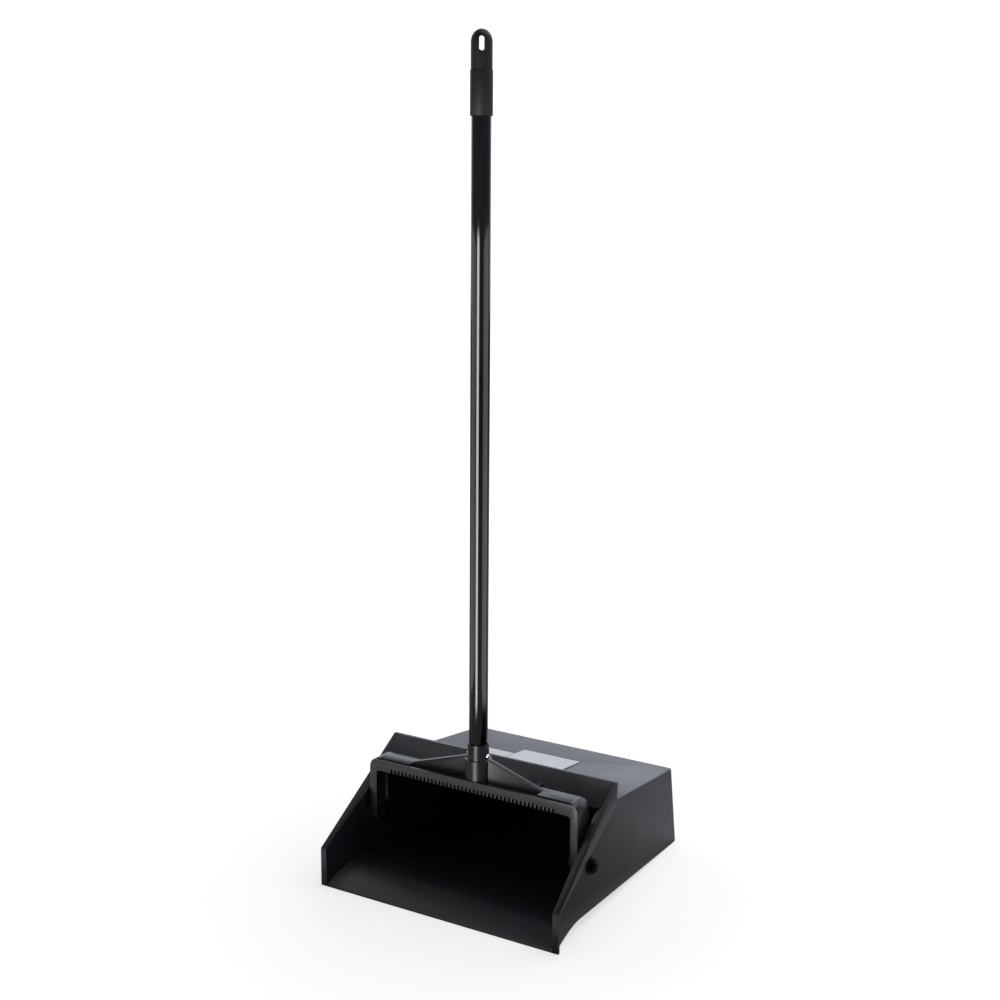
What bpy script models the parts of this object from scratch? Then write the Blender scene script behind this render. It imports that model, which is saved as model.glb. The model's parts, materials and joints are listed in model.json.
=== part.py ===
"""Upright lobby dust pan: a moulded bin that hangs on a U-shaped yoke with a long tube handle.

Metres, +Z up.  The frame's origin is the middle of the footprint, on the floor.
Sizes along the pan are written from its front lip: y = 0 is the lip and +Y runs to the rear.
The pan is at rest on the floor and the yoke leans on its stop, under the hood.
"""

import math

import bmesh
import bpy
from mathutils import Matrix, Vector

# ---------------------------------------------------------------- pan, driving sizes
PAN_WIDTH = 0.305            # across the rims, at the lip
PAN_DEPTH = 0.325            # lip to rear heel
SIDE_TAPER = 0.0416          # half width lost for each metre behind the lip
WALL = 0.0028                # sides, rear, top and hood
FLOOR_WALL = 0.0026          # floor of the bin
LIP_EDGE = 0.0012            # thickness of the floor at the lip
LIP_FLAT = 0.004             # flat foot under the lip
HEEL_FLAT = 0.012            # flat foot under the rear edge
CREST_Y = 0.057              # where the ramp behind the lip ends
CREST_Z = 0.0126             # height of the floor's underside there
LIP_SIDE_Z = 0.044           # height of the upright front edges
PEAK_Y = 0.1360              # front edge of the ridge above the hood
PEAK_Z = 0.1393
RIDGE_FLAT = 0.0035          # flat on top of the ridge
TOP_FRONT_Z = 0.1163         # bin top where it meets the ridge
TOP_REAR_Z = 0.0980          # bin top at the rear
REAR_LEAN = 0.0195           # the rear wall's top is this far ahead of its foot
REAR_CORNER_R = 0.004        # upright rear corners
TOP_EDGE_R = 0.0015          # edges round the bin top
RIM_OUT = 0.0047             # how far the mouth rims stand out from the sides
RIM_THICK = 0.003
RIM_END_SINK = 0.0007        # the rims widen towards the ridge, to this far below the bin top
HOOD_LOW_Y = 0.107           # lower edge of the hood, on its outer face
HOOD_RETURN = 0.006          # stiffening return along that edge
LABEL_THICK = 0.0004
INFO_LABEL_WIDTH = 0.076
INFO_LABEL_LENGTH = 0.046
INFO_LABEL_X = 0.0035
INFO_LABEL_Y = 0.226         # middle of the label behind the lip
SIDE_LABEL_WIDTH = 0.040
SIDE_LABEL_LENGTH = 0.030
SIDE_LABEL_X = -0.0555
SIDE_LABEL_Y = 0.211

# ---------------------------------------------------------------- pivots
PIVOT_Y = 0.083
PIVOT_Z = 0.0635
BOLT_R = 0.004
BOLT_HEAD_AF = 0.013
BOLT_HEAD_THICK = 0.005
BOLT_END = 0.001             # thread showing beyond the nut
NUT_AF = 0.013
NUT_THICK = 0.0055
WASHER_R = 0.0098
WASHER_THICK = 0.0012
THRUST_R = 0.0105
THRUST_THICK = 0.0012
PAD_R = 0.0115               # flat pads on the tapered sides, under the washers
PAD_STAND = 0.0006
RUN_GAP = 0.0003             # gap between pieces that touch or turn on each other

# ---------------------------------------------------------------- yoke
ARM_THICK = 0.009
ARM_DEPTH = 0.025
ARM_RIB = 0.003              # ribs either side of the pocket in each arm
ARM_POCKET = 0.003
BOSS_LENGTH = 0.0037
BOSS_INSET = 0.0005          # the bosses stay this far inside the arms' edges
ARM_END_BLEND = 4.0          # degrees of each arm's end left as a short flat
BAR_TOP_Z = 0.133
BAR_HEIGHT = 0.009
OUTER_CORNER_R = 0.011
INNER_CORNER_R = 0.0045
COMB_THICK = 0.0025
COMB_GROOVE = 0.0018
COMB_TOP_DROP = 0.0014       # top of the comb strip below the bar's top
COMB_DROP = 0.005            # teeth below the bar
COMB_PITCH = 0.005
COMB_SLOT = 0.0024
COMB_END = 0.0175            # plain length of comb strip next to each arm
WEB_THICK = 0.0035           # floor of the trough in front of the gussets
GUSSET_THICK = 0.006
GUSSET_FOOT = 0.083          # half length of the gussets along the bar
GUSSET_RISE = 0.0215         # from the bar's top, at the socket
LUG_WIDTH = 0.012
LUG_X = 0.060
LUG_HEIGHT = 0.0035

# ---------------------------------------------------------------- handle
HANDLE_BEHIND = 0.005        # the tube's axis is this far behind the pivots
HANDLE_TOP_Z = 0.927
TUBE_R = 0.0104
TUBE_WALL = 0.0010
SOCKET_FIT = 0.0003
COLLAR_WALL = 0.0013
BLOCK_STEP = 0.0029          # the lower part of the socket is this much thicker
BLOCK_RISE = 0.0205          # heights in the socket, from the bar's top
COLLAR_RISE = 0.0380
RIVET_RISE = 0.0248
SOCKET_SINK = 0.0045
RIVET_R = 0.0016
RIVET_HEAD_R = 0.0027
RIVET_FLAT_R = 0.0016        # flat on the rivet's domed head
RIVET_HEAD_THICK = 0.0016
CAP_HEIGHT = 0.040
CAP_PROUD = 0.0007           # the cap stands this far out from the tube
CAP_DOME = 0.013
CAP_SPIGOT = 0.020
SLEEVE_LENGTH = 0.045
SLEEVE_WALL = 0.00105
SLOT_WIDTH = 0.0050          # narrowest width, in the middle of the cap
SLOT_MOUTH = 0.0086          # width at the cap's faces
SLOT_HEIGHT = 0.0145
SLOT_CENTRE_DROP = 0.0140    # slot centre below the top of the dome
SLOT_TURN = math.radians(38.0)

ROUND_SEGMENTS = 40
SMALL_SEGMENTS = 24
RAMP_STEPS = 8
DOME_STEPS = 7
CORNER_STEPS = 5
EDGE_STEPS = 3
ARM_END_STEPS = 14
CLEAR_CUT = 0.02             # how far cutters run past what they cut
OVERLAP = 0.001              # how far joined shapes run into each other
SHARP_ANGLE = 35.0           # degrees, above which a smooth piece keeps an edge
DATUM_SIZE = 0.03

MATERIALS = {
    "black_polypropylene": ((0.030, 0.032, 0.034), 0.45, 0.0),
    "enamelled_steel": ((0.012, 0.012, 0.013), 0.12, 0.0),
    "grip_polymer": ((0.022, 0.022, 0.023), 0.6, 0.0),
    "zinc_steel": ((0.55, 0.55, 0.56), 0.35, 1.0),
    "black_oxide_steel": ((0.035, 0.035, 0.037), 0.4, 1.0),
    "nylon": ((0.05, 0.05, 0.05), 0.5, 0.0),
    "label_paper": ((0.62, 0.63, 0.64), 0.5, 0.0),
}


# ---------------------------------------------------------------- sizes that follow
def rim_half(y):
    """Half width to the outer edge of the rims, at y behind the lip."""
    return PAN_WIDTH / 2 - SIDE_TAPER * y


def wall_half(y):
    """Half width to the outer face of the sides."""
    return rim_half(y) - RIM_OUT


def inner_half(y):
    return wall_half(y) - WALL


def top_z(y):
    """Height of the bin top, which falls towards the rear."""
    run = PAN_DEPTH - REAR_LEAN - RIDGE_Y
    return TOP_FRONT_Z + (TOP_REAR_Z - TOP_FRONT_Z) * (y - RIDGE_Y) / run


def hood_y(z):
    """Where the slanted plane of the rims and the hood is, at height z."""
    return (z - LIP_SIDE_Z) * PEAK_Y / (PEAK_Z - LIP_SIDE_Z)


def floor_z(y):
    """Underside of the floor: flat foot, ramp, then a straight fall to the heel."""
    if y <= LIP_FLAT:
        return 0.0
    if y < CREST_Y:
        return CREST_Z * math.sin(math.pi / 2 * (y - LIP_FLAT) / (CREST_Y - LIP_FLAT))
    heel = PAN_DEPTH - HEEL_FLAT
    return max(0.0, CREST_Z * (heel - y) / (heel - CREST_Y))


HANDLE_Y = PIVOT_Y + HANDLE_BEHIND
GUSSET_TOP_Z = BAR_TOP_Z + GUSSET_RISE
BLOCK_TOP_Z = BAR_TOP_Z + BLOCK_RISE
COLLAR_TOP_Z = BAR_TOP_Z + COLLAR_RISE
RIVET_Z = BAR_TOP_Z + RIVET_RISE
SOCKET_FLOOR_Z = BAR_TOP_Z - SOCKET_SINK
RIDGE_Y = PEAK_Y + RIDGE_FLAT
SLANT = Vector((PEAK_Y, PEAK_Z - LIP_SIDE_Z)).normalized()
INWARD = Vector((SLANT.y, -SLANT.x))

PAD_OUTER = wall_half(PIVOT_Y - PAD_R) + PAD_STAND
PAD_INNER = inner_half(PIVOT_Y + PAD_R) - PAD_STAND
THRUST_OUTER = PAD_INNER - RUN_GAP
THRUST_INNER = THRUST_OUTER - THRUST_THICK
BOSS_END = THRUST_INNER - RUN_GAP
ARM_OUTER = BOSS_END - BOSS_LENGTH
ARM_INNER = ARM_OUTER - ARM_THICK
WASHER_INNER = PAD_OUTER + RUN_GAP
WASHER_OUTER = WASHER_INNER + WASHER_THICK
NUT_INNER = WASHER_OUTER + RUN_GAP
NUT_OUTER = NUT_INNER + NUT_THICK
BORE_R = BOLT_R + RUN_GAP

YOKE_FRONT = PIVOT_Y - ARM_DEPTH / 2
YOKE_BACK = PIVOT_Y + ARM_DEPTH / 2
BAR_FRONT = YOKE_FRONT + COMB_THICK + COMB_GROOVE
BAR_LOW_Z = BAR_TOP_Z - BAR_HEIGHT
COMB_LOW_Z = BAR_LOW_Z - COMB_DROP
BOSS_R = ARM_DEPTH / 2 - BOSS_INSET
SOCKET_R = TUBE_R + SOCKET_FIT
COLLAR_R = SOCKET_R + COLLAR_WALL
BLOCK_R = COLLAR_R + BLOCK_STEP
CAP_R = TUBE_R + CAP_PROUD
TUBE_TOP_Z = HANDLE_TOP_Z - CAP_HEIGHT - RUN_GAP
TUBE_LOW_Z = SOCKET_FLOOR_Z + RUN_GAP


# ---------------------------------------------------------------- mesh helpers
def material(name):
    found = bpy.data.materials.get(name)
    if found:
        return found
    colour, roughness, metallic = MATERIALS[name]
    made = bpy.data.materials.new(name)
    made.use_nodes = True
    shader = made.node_tree.nodes["Principled BSDF"]
    shader.inputs["Base Color"].default_value = (*colour, 1.0)
    shader.inputs["Roughness"].default_value = roughness
    shader.inputs["Metallic"].default_value = metallic
    return made


def piece(name, bm, finish, datum, smooth=False):
    """Makes an object from a bmesh measured from the lip; its origin is its datum's place."""
    bmesh.ops.recalc_face_normals(bm, faces=bm.faces)
    mesh = bpy.data.meshes.new(name)
    bm.to_mesh(mesh)
    bm.free()
    if smooth:
        mesh.shade_smooth()
        mesh.set_sharp_from_angle(angle=math.radians(SHARP_ANGLE))
    if finish:
        mesh.materials.append(material(finish))
    mesh.transform(Matrix.Translation(-datum.location - Vector((0.0, PAN_DEPTH / 2, 0.0))))
    obj = bpy.data.objects.new(name, mesh)
    obj.parent = datum
    bpy.context.scene.collection.objects.link(obj)
    return obj


def make_datum(name, y, z):
    """An empty that pieces hang on, at y behind the lip."""
    empty = bpy.data.objects.new(name, None)
    empty.location = (0.0, y - PAN_DEPTH / 2, z)
    empty.empty_display_size = DATUM_SIZE
    bpy.context.scene.collection.objects.link(empty)
    return empty


def prism(outline, x_low, x_high):
    """A solid between two X limits, which may be functions of y, on an outline of (y, z)."""
    low = x_low if callable(x_low) else lambda y: x_low
    high = x_high if callable(x_high) else lambda y: x_high
    bm = bmesh.new()
    near = [bm.verts.new((low(y), y, z)) for y, z in outline]
    far = [bm.verts.new((high(y), y, z)) for y, z in outline]
    bm.faces.new(near)
    bm.faces.new(list(reversed(far)))
    for i in range(len(outline)):
        j = (i + 1) % len(outline)
        bm.faces.new((near[j], near[i], far[i], far[j]))
    return bm


def slab(outline, y_low, y_high):
    """A solid between two Y limits, on an outline of (x, z)."""
    bm = bmesh.new()
    near = [bm.verts.new((x, y_low, z)) for x, z in outline]
    far = [bm.verts.new((x, y_high, z)) for x, z in outline]
    bm.faces.new(near)
    bm.faces.new(list(reversed(far)))
    for i in range(len(outline)):
        j = (i + 1) % len(outline)
        bm.faces.new((near[j], near[i], far[i], far[j]))
    return bm


def plate(outline, z_low, z_high):
    """A solid between two heights, on an outline of (x, y)."""
    bm = bmesh.new()
    low = [bm.verts.new((x, y, z_low)) for x, y in outline]
    high = [bm.verts.new((x, y, z_high)) for x, y in outline]
    bm.faces.new(list(reversed(low)))
    bm.faces.new(high)
    for i in range(len(outline)):
        j = (i + 1) % len(outline)
        bm.faces.new((low[i], low[j], high[j], high[i]))
    return bm


def box(low, high):
    outline = [(low[1], low[2]), (high[1], low[2]), (high[1], high[2]), (low[1], high[2])]
    return prism(outline, low[0], high[0])


def turned(profile, centre, axis="Z", segments=ROUND_SEGMENTS):
    """A solid of revolution: (radius, height) points, with a pole where the radius is 0."""
    bm = bmesh.new()
    rings = []
    for radius, height in profile:
        if radius == 0.0:
            rings.append([bm.verts.new((0.0, 0.0, height))])
            continue
        angles = (2 * math.pi * i / segments for i in range(segments))
        ring = [bm.verts.new((radius * math.cos(a), radius * math.sin(a), height)) for a in angles]
        rings.append(ring)
    closed = profile[0][0] > 0.0 and profile[-1][0] > 0.0
    pairs = list(zip(rings, rings[1:]))
    if closed:
        pairs.append((rings[-1], rings[0]))
    for lower, upper in pairs:
        for i in range(segments):
            j = (i + 1) % segments
            corners = [lower[i % len(lower)], lower[j % len(lower)]]
            corners += [upper[j % len(upper)], upper[i % len(upper)]]
            bm.faces.new(list(dict.fromkeys(corners)))
    if axis == "X":
        bmesh.ops.rotate(bm, verts=bm.verts, matrix=Matrix.Rotation(math.pi / 2, 3, "Y"))
    bmesh.ops.translate(bm, verts=bm.verts, vec=centre)
    return bm


def rod_x(radius, x_low, x_high, y, z, segments=ROUND_SEGMENTS):
    """A cylinder along X."""
    length = x_high - x_low
    profile = [(0.0, 0.0), (radius, 0.0), (radius, length), (0.0, length)]
    return turned(profile, (x_low, y, z), "X", segments)


def ring_x(outer, inner, x_low, x_high):
    """A washer round the pivot axis."""
    length = x_high - x_low
    profile = [(inner, 0.0), (outer, 0.0), (outer, length), (inner, length)]
    return turned(profile, (x_low, PIVOT_Y, PIVOT_Z), "X", SMALL_SEGMENTS)


def hex_x(across_flats, x_low, x_high):
    """A hexagonal prism on the pivot axis, with a corner upwards."""
    radius = across_flats / math.sqrt(3)
    angles = [math.pi / 2 + math.pi / 3 * i for i in range(6)]
    outline = [(PIVOT_Y + radius * math.cos(a), PIVOT_Z + radius * math.sin(a)) for a in angles]
    return prism(outline, x_low, x_high)


def arc(centre, radius, start, stop, steps):
    """Points on an arc, angles in degrees."""
    angles = [math.radians(start + (stop - start) * i / steps) for i in range(steps + 1)]
    return [(centre[0] + radius * math.cos(a), centre[1] + radius * math.sin(a)) for a in angles]


def combine(obj, operation, bm):
    """Adds a Boolean to a piece; the other solid stays in the file as a wire guide."""
    guide = piece(f"{obj.name}_{operation.lower()}_{len(obj.modifiers)}", bm, None, obj.parent)
    guide.display_type = "WIRE"
    guide.hide_render = True
    modifier = obj.modifiers.new(guide.name, "BOOLEAN")
    modifier.object = guide
    modifier.operation = operation
    modifier.solver = "EXACT"


def bevel_edges(bm, chosen, radius, segments):
    edges = [edge for edge in bm.edges if chosen(*(v.co for v in edge.verts))]
    bmesh.ops.bevel(bm, geom=edges, offset=radius, segments=segments, profile=0.5, affect="EDGES")


# ---------------------------------------------------------------- pan
def ramp_points(lift):
    """Floor line from the lip to the heel; lift(y) is the height above the underside."""
    steps = [LIP_FLAT + (CREST_Y - LIP_FLAT) * i / RAMP_STEPS for i in range(RAMP_STEPS + 1)]
    return [(y, floor_z(y) + lift(y)) for y in steps]


def outer_outline():
    rear_top_y = PAN_DEPTH - REAR_LEAN
    points = [(0.0, 0.0)]
    points += ramp_points(lambda y: 0.0)
    points += [(PAN_DEPTH - HEEL_FLAT, 0.0), (PAN_DEPTH, 0.0)]
    points += [(rear_top_y, TOP_REAR_Z), (RIDGE_Y, TOP_FRONT_Z), (RIDGE_Y, PEAK_Z)]
    points += [(PEAK_Y, PEAK_Z), (0.0, LIP_SIDE_Z)]
    return points


def cavity_outline():
    """The space inside, from the mouth back, with the hood and its return left standing."""
    def lift(y):
        return LIP_EDGE + (FLOOR_WALL - LIP_EDGE) * min(1.0, y / CREST_Y)

    rear_slope = REAR_LEAN / TOP_REAR_Z
    rear_foot = PAN_DEPTH - WALL - rear_slope * FLOOR_WALL
    rear_top_z = TOP_REAR_Z - WALL
    rear_top_y = PAN_DEPTH - WALL - rear_slope * rear_top_z
    edge = Vector((HOOD_LOW_Y, LIP_SIDE_Z + SLANT.y / SLANT.x * HOOD_LOW_Y))
    return_low = edge + INWARD * HOOD_RETURN
    return_back = return_low + SLANT * WALL
    hood_inner = edge + SLANT * WALL + INWARD * WALL
    ridge_inner = RIDGE_Y - WALL
    peak_inner = hood_inner + SLANT * ((ridge_inner - hood_inner.x) / SLANT.x)
    outside = edge - INWARD * CLEAR_CUT
    points = [(-CLEAR_CUT, LIP_EDGE), (0.0, LIP_EDGE)]
    points += ramp_points(lift)
    points += [(PAN_DEPTH - HEEL_FLAT, FLOOR_WALL), (rear_foot, FLOOR_WALL)]
    points += [(rear_top_y, rear_top_z), (ridge_inner, top_z(ridge_inner) - WALL)]
    points += [tuple(peak_inner), tuple(hood_inner), tuple(return_back), tuple(return_low)]
    points += [tuple(outside), (-CLEAR_CUT, LIP_SIDE_Z + CLEAR_CUT)]
    return points


def rim_outline():
    """The rim follows the upright front edge, then the slanted edge, and widens to the ridge."""
    run = (RIM_THICK - INWARD.x * RIM_THICK) / SLANT.x
    bend_z = LIP_SIDE_Z + INWARD.y * RIM_THICK + run * SLANT.y
    points = [(0.0, 0.0), (RIM_THICK, 0.0), (RIM_THICK, bend_z)]
    points += [(RIDGE_Y, TOP_FRONT_Z - RIM_END_SINK), (RIDGE_Y, PEAK_Z)]
    points += [(PEAK_Y, PEAK_Z), (0.0, LIP_SIDE_Z)]
    return points


def make_pan(datum):
    rear_limit = PAN_DEPTH - REAR_LEAN - WALL * 2

    def upright_rear(a, b):
        return min(a.y, b.y) > rear_limit and abs(a.z - b.z) > TOP_REAR_Z / 2

    shell = prism(outer_outline(), lambda y: -wall_half(y), wall_half)
    bevel_edges(shell, upright_rear, REAR_CORNER_R, CORNER_STEPS)

    def round_the_top(a, b):
        limits = (TOP_REAR_Z - WALL, TOP_FRONT_Z + WALL / 4)
        on_top = all(limits[0] < v.z < limits[1] and v.y > RIDGE_Y - WALL / 4 for v in (a, b))
        across_ridge = abs(a.x - b.x) > PAN_WIDTH / 2 and a.y < RIDGE_Y + WALL
        return on_top and not across_ridge

    bevel_edges(shell, round_the_top, TOP_EDGE_R, EDGE_STEPS)
    body = piece("pan_body", shell, "black_polypropylene", datum)

    cavity = prism(cavity_outline(), lambda y: -inner_half(y), inner_half)
    bevel_edges(cavity, upright_rear, REAR_CORNER_R - WALL, CORNER_STEPS)
    combine(body, "DIFFERENCE", cavity)
    for side in (-1, 1):
        edges = [lambda y, s=side: s * inner_half(y), lambda y, s=side: s * rim_half(y)]
        if side < 0:
            edges.reverse()
        combine(body, "UNION", prism(rim_outline(), *edges))
    for side in (-1, 1):
        low, high = sorted((side * PAD_INNER, side * PAD_OUTER))
        combine(body, "UNION", rod_x(PAD_R, low, high, PIVOT_Y, PIVOT_Z))
    for side in (-1, 1):
        low, high = sorted((side * (PAD_INNER - WALL), side * (PAD_OUTER + WALL)))
        combine(body, "DIFFERENCE", rod_x(BORE_R, low, high, PIVOT_Y, PIVOT_Z))


def make_label(name, x, y, width, length, datum):
    """A blank label, lying on the falling top of the bin; x and y are its middle."""
    front, back = y - length / 2, y + length / 2
    low, high = RUN_GAP, RUN_GAP + LABEL_THICK
    outline = [(front, top_z(front) + low), (back, top_z(back) + low)]
    outline += [(back, top_z(back) + high), (front, top_z(front) + high)]
    piece(name, prism(outline, x - width / 2, x + width / 2), "label_paper", datum)


def make_pivot(side, datum):
    """Bolt, washers and nut of one pivot; side is -1 for left and 1 for right."""
    where = "left" if side < 0 else "right"

    def span(inner, outer):
        return sorted((side * inner, side * outer))

    head_face = ARM_INNER - RUN_GAP
    head = hex_x(BOLT_HEAD_AF, *span(head_face - BOLT_HEAD_THICK, head_face))
    bolt = piece(f"pivot_bolt_{where}", head, "black_oxide_steel", datum)
    shank = rod_x(BOLT_R, *span(head_face - BOLT_HEAD_THICK / 2, NUT_OUTER + BOLT_END),
                  PIVOT_Y, PIVOT_Z, SMALL_SEGMENTS)
    combine(bolt, "UNION", shank)

    thrust = ring_x(THRUST_R, BORE_R, *span(THRUST_INNER, THRUST_OUTER))
    piece(f"thrust_washer_{where}", thrust, "nylon", datum, smooth=True)
    washer = ring_x(WASHER_R, BORE_R, *span(WASHER_INNER, WASHER_OUTER))
    piece(f"outer_washer_{where}", washer, "black_oxide_steel", datum, smooth=True)

    nut = piece(f"lock_nut_{where}", hex_x(NUT_AF, *span(NUT_INNER, NUT_OUTER)),
                "black_oxide_steel", datum)
    hole = rod_x(BORE_R, *span(NUT_INNER - WALL, NUT_OUTER + WALL), PIVOT_Y, PIVOT_Z,
                 SMALL_SEGMENTS)
    combine(nut, "DIFFERENCE", hole)


# ---------------------------------------------------------------- yoke
def strap_outline():
    """The U seen from the front: round outer corners, open below between the arms."""
    corner_x = ARM_OUTER - OUTER_CORNER_R
    corner_z = BAR_TOP_Z - OUTER_CORNER_R
    inner_x = ARM_INNER - INNER_CORNER_R
    inner_z = COMB_LOW_Z - INNER_CORNER_R
    low_z = PIVOT_Z - ARM_DEPTH / 2
    points = [(ARM_OUTER, low_z)]
    points += arc((corner_x, corner_z), OUTER_CORNER_R, 0, 90, 6)
    points += arc((-corner_x, corner_z), OUTER_CORNER_R, 90, 180, 6)
    points += [(-ARM_OUTER, low_z), (-ARM_INNER, low_z)]
    points += arc((-inner_x, inner_z), INNER_CORNER_R, 180, 90, 4)
    points += arc((inner_x, inner_z), INNER_CORNER_R, 90, 0, 4)
    points += [(ARM_INNER, low_z)]
    return points


def round_arm_ends(yoke):
    """Cuts the square ends of the arms to a half circle round the pivot."""
    radius = ARM_DEPTH / 2
    ends = (180 + ARM_END_BLEND, 360 - ARM_END_BLEND)
    outline = arc((PIVOT_Y, PIVOT_Z), radius, *ends, ARM_END_STEPS)
    side_z = outline[0][1]
    low_z = PIVOT_Z - radius - CLEAR_CUT
    outline += [(YOKE_BACK + CLEAR_CUT, side_z), (YOKE_BACK + CLEAR_CUT, low_z)]
    outline += [(YOKE_FRONT - CLEAR_CUT, low_z), (YOKE_FRONT - CLEAR_CUT, side_z)]
    reach = ARM_OUTER + CLEAR_CUT
    combine(yoke, "DIFFERENCE", prism(outline, -reach, reach))


def open_the_bar(yoke):
    """Groove behind the comb strip, trough before the gussets and relief under the bar."""
    comb_back = YOKE_FRONT + COMB_THICK
    groove_x = ARM_OUTER - OUTER_CORNER_R
    floor = BAR_LOW_Z + WEB_THICK
    outline = [(-groove_x, comb_back), (groove_x, comb_back), (groove_x, BAR_FRONT)]
    outline += [(GUSSET_FOOT, BAR_FRONT), (GUSSET_FOOT, HANDLE_Y), (-GUSSET_FOOT, HANDLE_Y)]
    outline += [(-GUSSET_FOOT, BAR_FRONT), (-groove_x, BAR_FRONT)]
    combine(yoke, "DIFFERENCE", plate(outline, floor, BAR_TOP_Z + CLEAR_CUT))

    reach = ARM_OUTER + CLEAR_CUT
    drop = box((-reach, YOKE_FRONT - CLEAR_CUT, BAR_TOP_Z - COMB_TOP_DROP),
               (reach, comb_back + COMB_GROOVE / 2, BAR_TOP_Z + CLEAR_CUT))
    combine(yoke, "DIFFERENCE", drop)

    relief_x = ARM_INNER - 1.5 * INNER_CORNER_R
    relief = box((-relief_x, comb_back, COMB_LOW_Z - CLEAR_CUT),
                 (relief_x, YOKE_BACK + CLEAR_CUT, BAR_LOW_Z))
    combine(yoke, "DIFFERENCE", relief)


def gusset_outline():
    """Both gussets in one plate, whose ends run on inside the bar."""
    slope = (GUSSET_TOP_Z - BAR_TOP_Z) / (GUSSET_FOOT - BLOCK_R)
    end_x = GUSSET_FOOT + OVERLAP
    end_z = BAR_TOP_Z - slope * OVERLAP
    base_z = BAR_LOW_Z + OVERLAP
    points = [(-end_x, base_z), (end_x, base_z), (end_x, end_z)]
    points += [(BLOCK_R, GUSSET_TOP_Z), (-BLOCK_R, GUSSET_TOP_Z), (-end_x, end_z)]
    return points


def make_yoke(datum):
    yoke = piece("yoke", slab(strap_outline(), YOKE_FRONT, YOKE_BACK),
                 "black_polypropylene", datum)
    round_arm_ends(yoke)
    open_the_bar(yoke)

    plate_half = GUSSET_THICK / 2
    combine(yoke, "UNION", slab(gusset_outline(), HANDLE_Y - plate_half, HANDLE_Y + plate_half))
    socket_low = BAR_LOW_Z - OVERLAP / 2
    socket = [(0.0, socket_low), (BLOCK_R, socket_low), (BLOCK_R, BLOCK_TOP_Z)]
    socket += [(COLLAR_R, BLOCK_TOP_Z), (COLLAR_R, COLLAR_TOP_Z), (0.0, COLLAR_TOP_Z)]
    combine(yoke, "UNION", turned(socket, (0.0, HANDLE_Y, 0.0)))

    lug_low = BAR_LOW_Z + OVERLAP / 2
    lug_top = lug_low + LUG_HEIGHT
    rest_gap = RUN_GAP / SLANT.y
    lug = [(YOKE_BACK - WALL, lug_low), (hood_y(lug_low) - rest_gap, lug_low)]
    lug += [(hood_y(lug_top) - rest_gap, lug_top), (YOKE_BACK - WALL, lug_top)]
    for side in (-1, 1):
        middle = side * LUG_X
        combine(yoke, "UNION", prism(lug, middle - LUG_WIDTH / 2, middle + LUG_WIDTH / 2))
        low, high = sorted((side * (ARM_OUTER - OVERLAP), side * BOSS_END))
        combine(yoke, "UNION", rod_x(BOSS_R, low, high, PIVOT_Y, PIVOT_Z))

    bore = [(0.0, SOCKET_FLOOR_Z), (SOCKET_R, SOCKET_FLOOR_Z)]
    bore += [(SOCKET_R, COLLAR_TOP_Z + CLEAR_CUT), (0.0, COLLAR_TOP_Z + CLEAR_CUT)]
    combine(yoke, "DIFFERENCE", turned(bore, (0.0, HANDLE_Y, 0.0)))
    combine(yoke, "DIFFERENCE", comb_slots())

    pocket_low = PIVOT_Z + ARM_DEPTH / 2
    pocket_top = COMB_LOW_Z - INNER_CORNER_R - OVERLAP
    for side in (-1, 1):
        low, high = sorted((side * (ARM_INNER - CLEAR_CUT), side * (ARM_INNER + ARM_POCKET)))
        pocket = box((low, YOKE_FRONT + ARM_RIB, pocket_low),
                     (high, YOKE_BACK - ARM_RIB, pocket_top))
        combine(yoke, "DIFFERENCE", pocket)
        low, high = sorted((side * (ARM_INNER - WALL), side * (BOSS_END + WALL)))
        combine(yoke, "DIFFERENCE", rod_x(BORE_R, low, high, PIVOT_Y, PIVOT_Z, SMALL_SEGMENTS))
    reach = COLLAR_R + CLEAR_CUT
    hole = rod_x(RIVET_R + RUN_GAP, -reach, reach, HANDLE_Y, RIVET_Z, SMALL_SEGMENTS)
    combine(yoke, "DIFFERENCE", hole)


def comb_slots():
    """All the slots between the comb's teeth, as one cutter."""
    bm = bmesh.new()
    reach = ARM_INNER - COMB_END
    count = int(2 * reach / COMB_PITCH)
    front, back = YOKE_FRONT - CLEAR_CUT, YOKE_FRONT + COMB_THICK + COMB_GROOVE / 3
    low, high = COMB_LOW_Z - COMB_DROP, BAR_LOW_Z - OVERLAP / 2
    for i in range(count):
        x = (i - (count - 1) / 2) * COMB_PITCH
        cell = box((x - COMB_SLOT / 2, front, low), (x + COMB_SLOT / 2, back, high))
        mesh = bpy.data.meshes.new("cell")
        cell.to_mesh(mesh)
        cell.free()
        bm.from_mesh(mesh)
        bpy.data.meshes.remove(mesh)
    return bm


# ---------------------------------------------------------------- handle
def make_tube(datum):
    inner = TUBE_R - TUBE_WALL
    profile = [(inner, TUBE_LOW_Z), (TUBE_R, TUBE_LOW_Z), (TUBE_R, TUBE_TOP_Z), (inner, TUBE_TOP_Z)]
    bm = turned(profile, (0.0, HANDLE_Y, 0.0))
    tube = piece("handle_tube", bm, "enamelled_steel", datum, smooth=True)
    reach = COLLAR_R + CLEAR_CUT
    hole = rod_x(RIVET_R + RUN_GAP, -reach, reach, HANDLE_Y, RIVET_Z, SMALL_SEGMENTS)
    combine(tube, "DIFFERENCE", hole)


def make_rivet(datum):
    """A rivet through the collar and the tube, with a low head at each end."""
    face = COLLAR_R + RUN_GAP
    end = face + RIVET_HEAD_THICK
    half = [(0.0, end), (RIVET_FLAT_R, end), (RIVET_HEAD_R, face + RIVET_HEAD_THICK / 2)]
    half += [(RIVET_HEAD_R, face), (RIVET_R, face)]
    profile = half + [(r, -x) for r, x in reversed(half)]
    bm = turned(profile, (0.0, HANDLE_Y, RIVET_Z), "X", SMALL_SEGMENTS)
    piece("socket_rivet", bm, "zinc_steel", datum, smooth=True)


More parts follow.
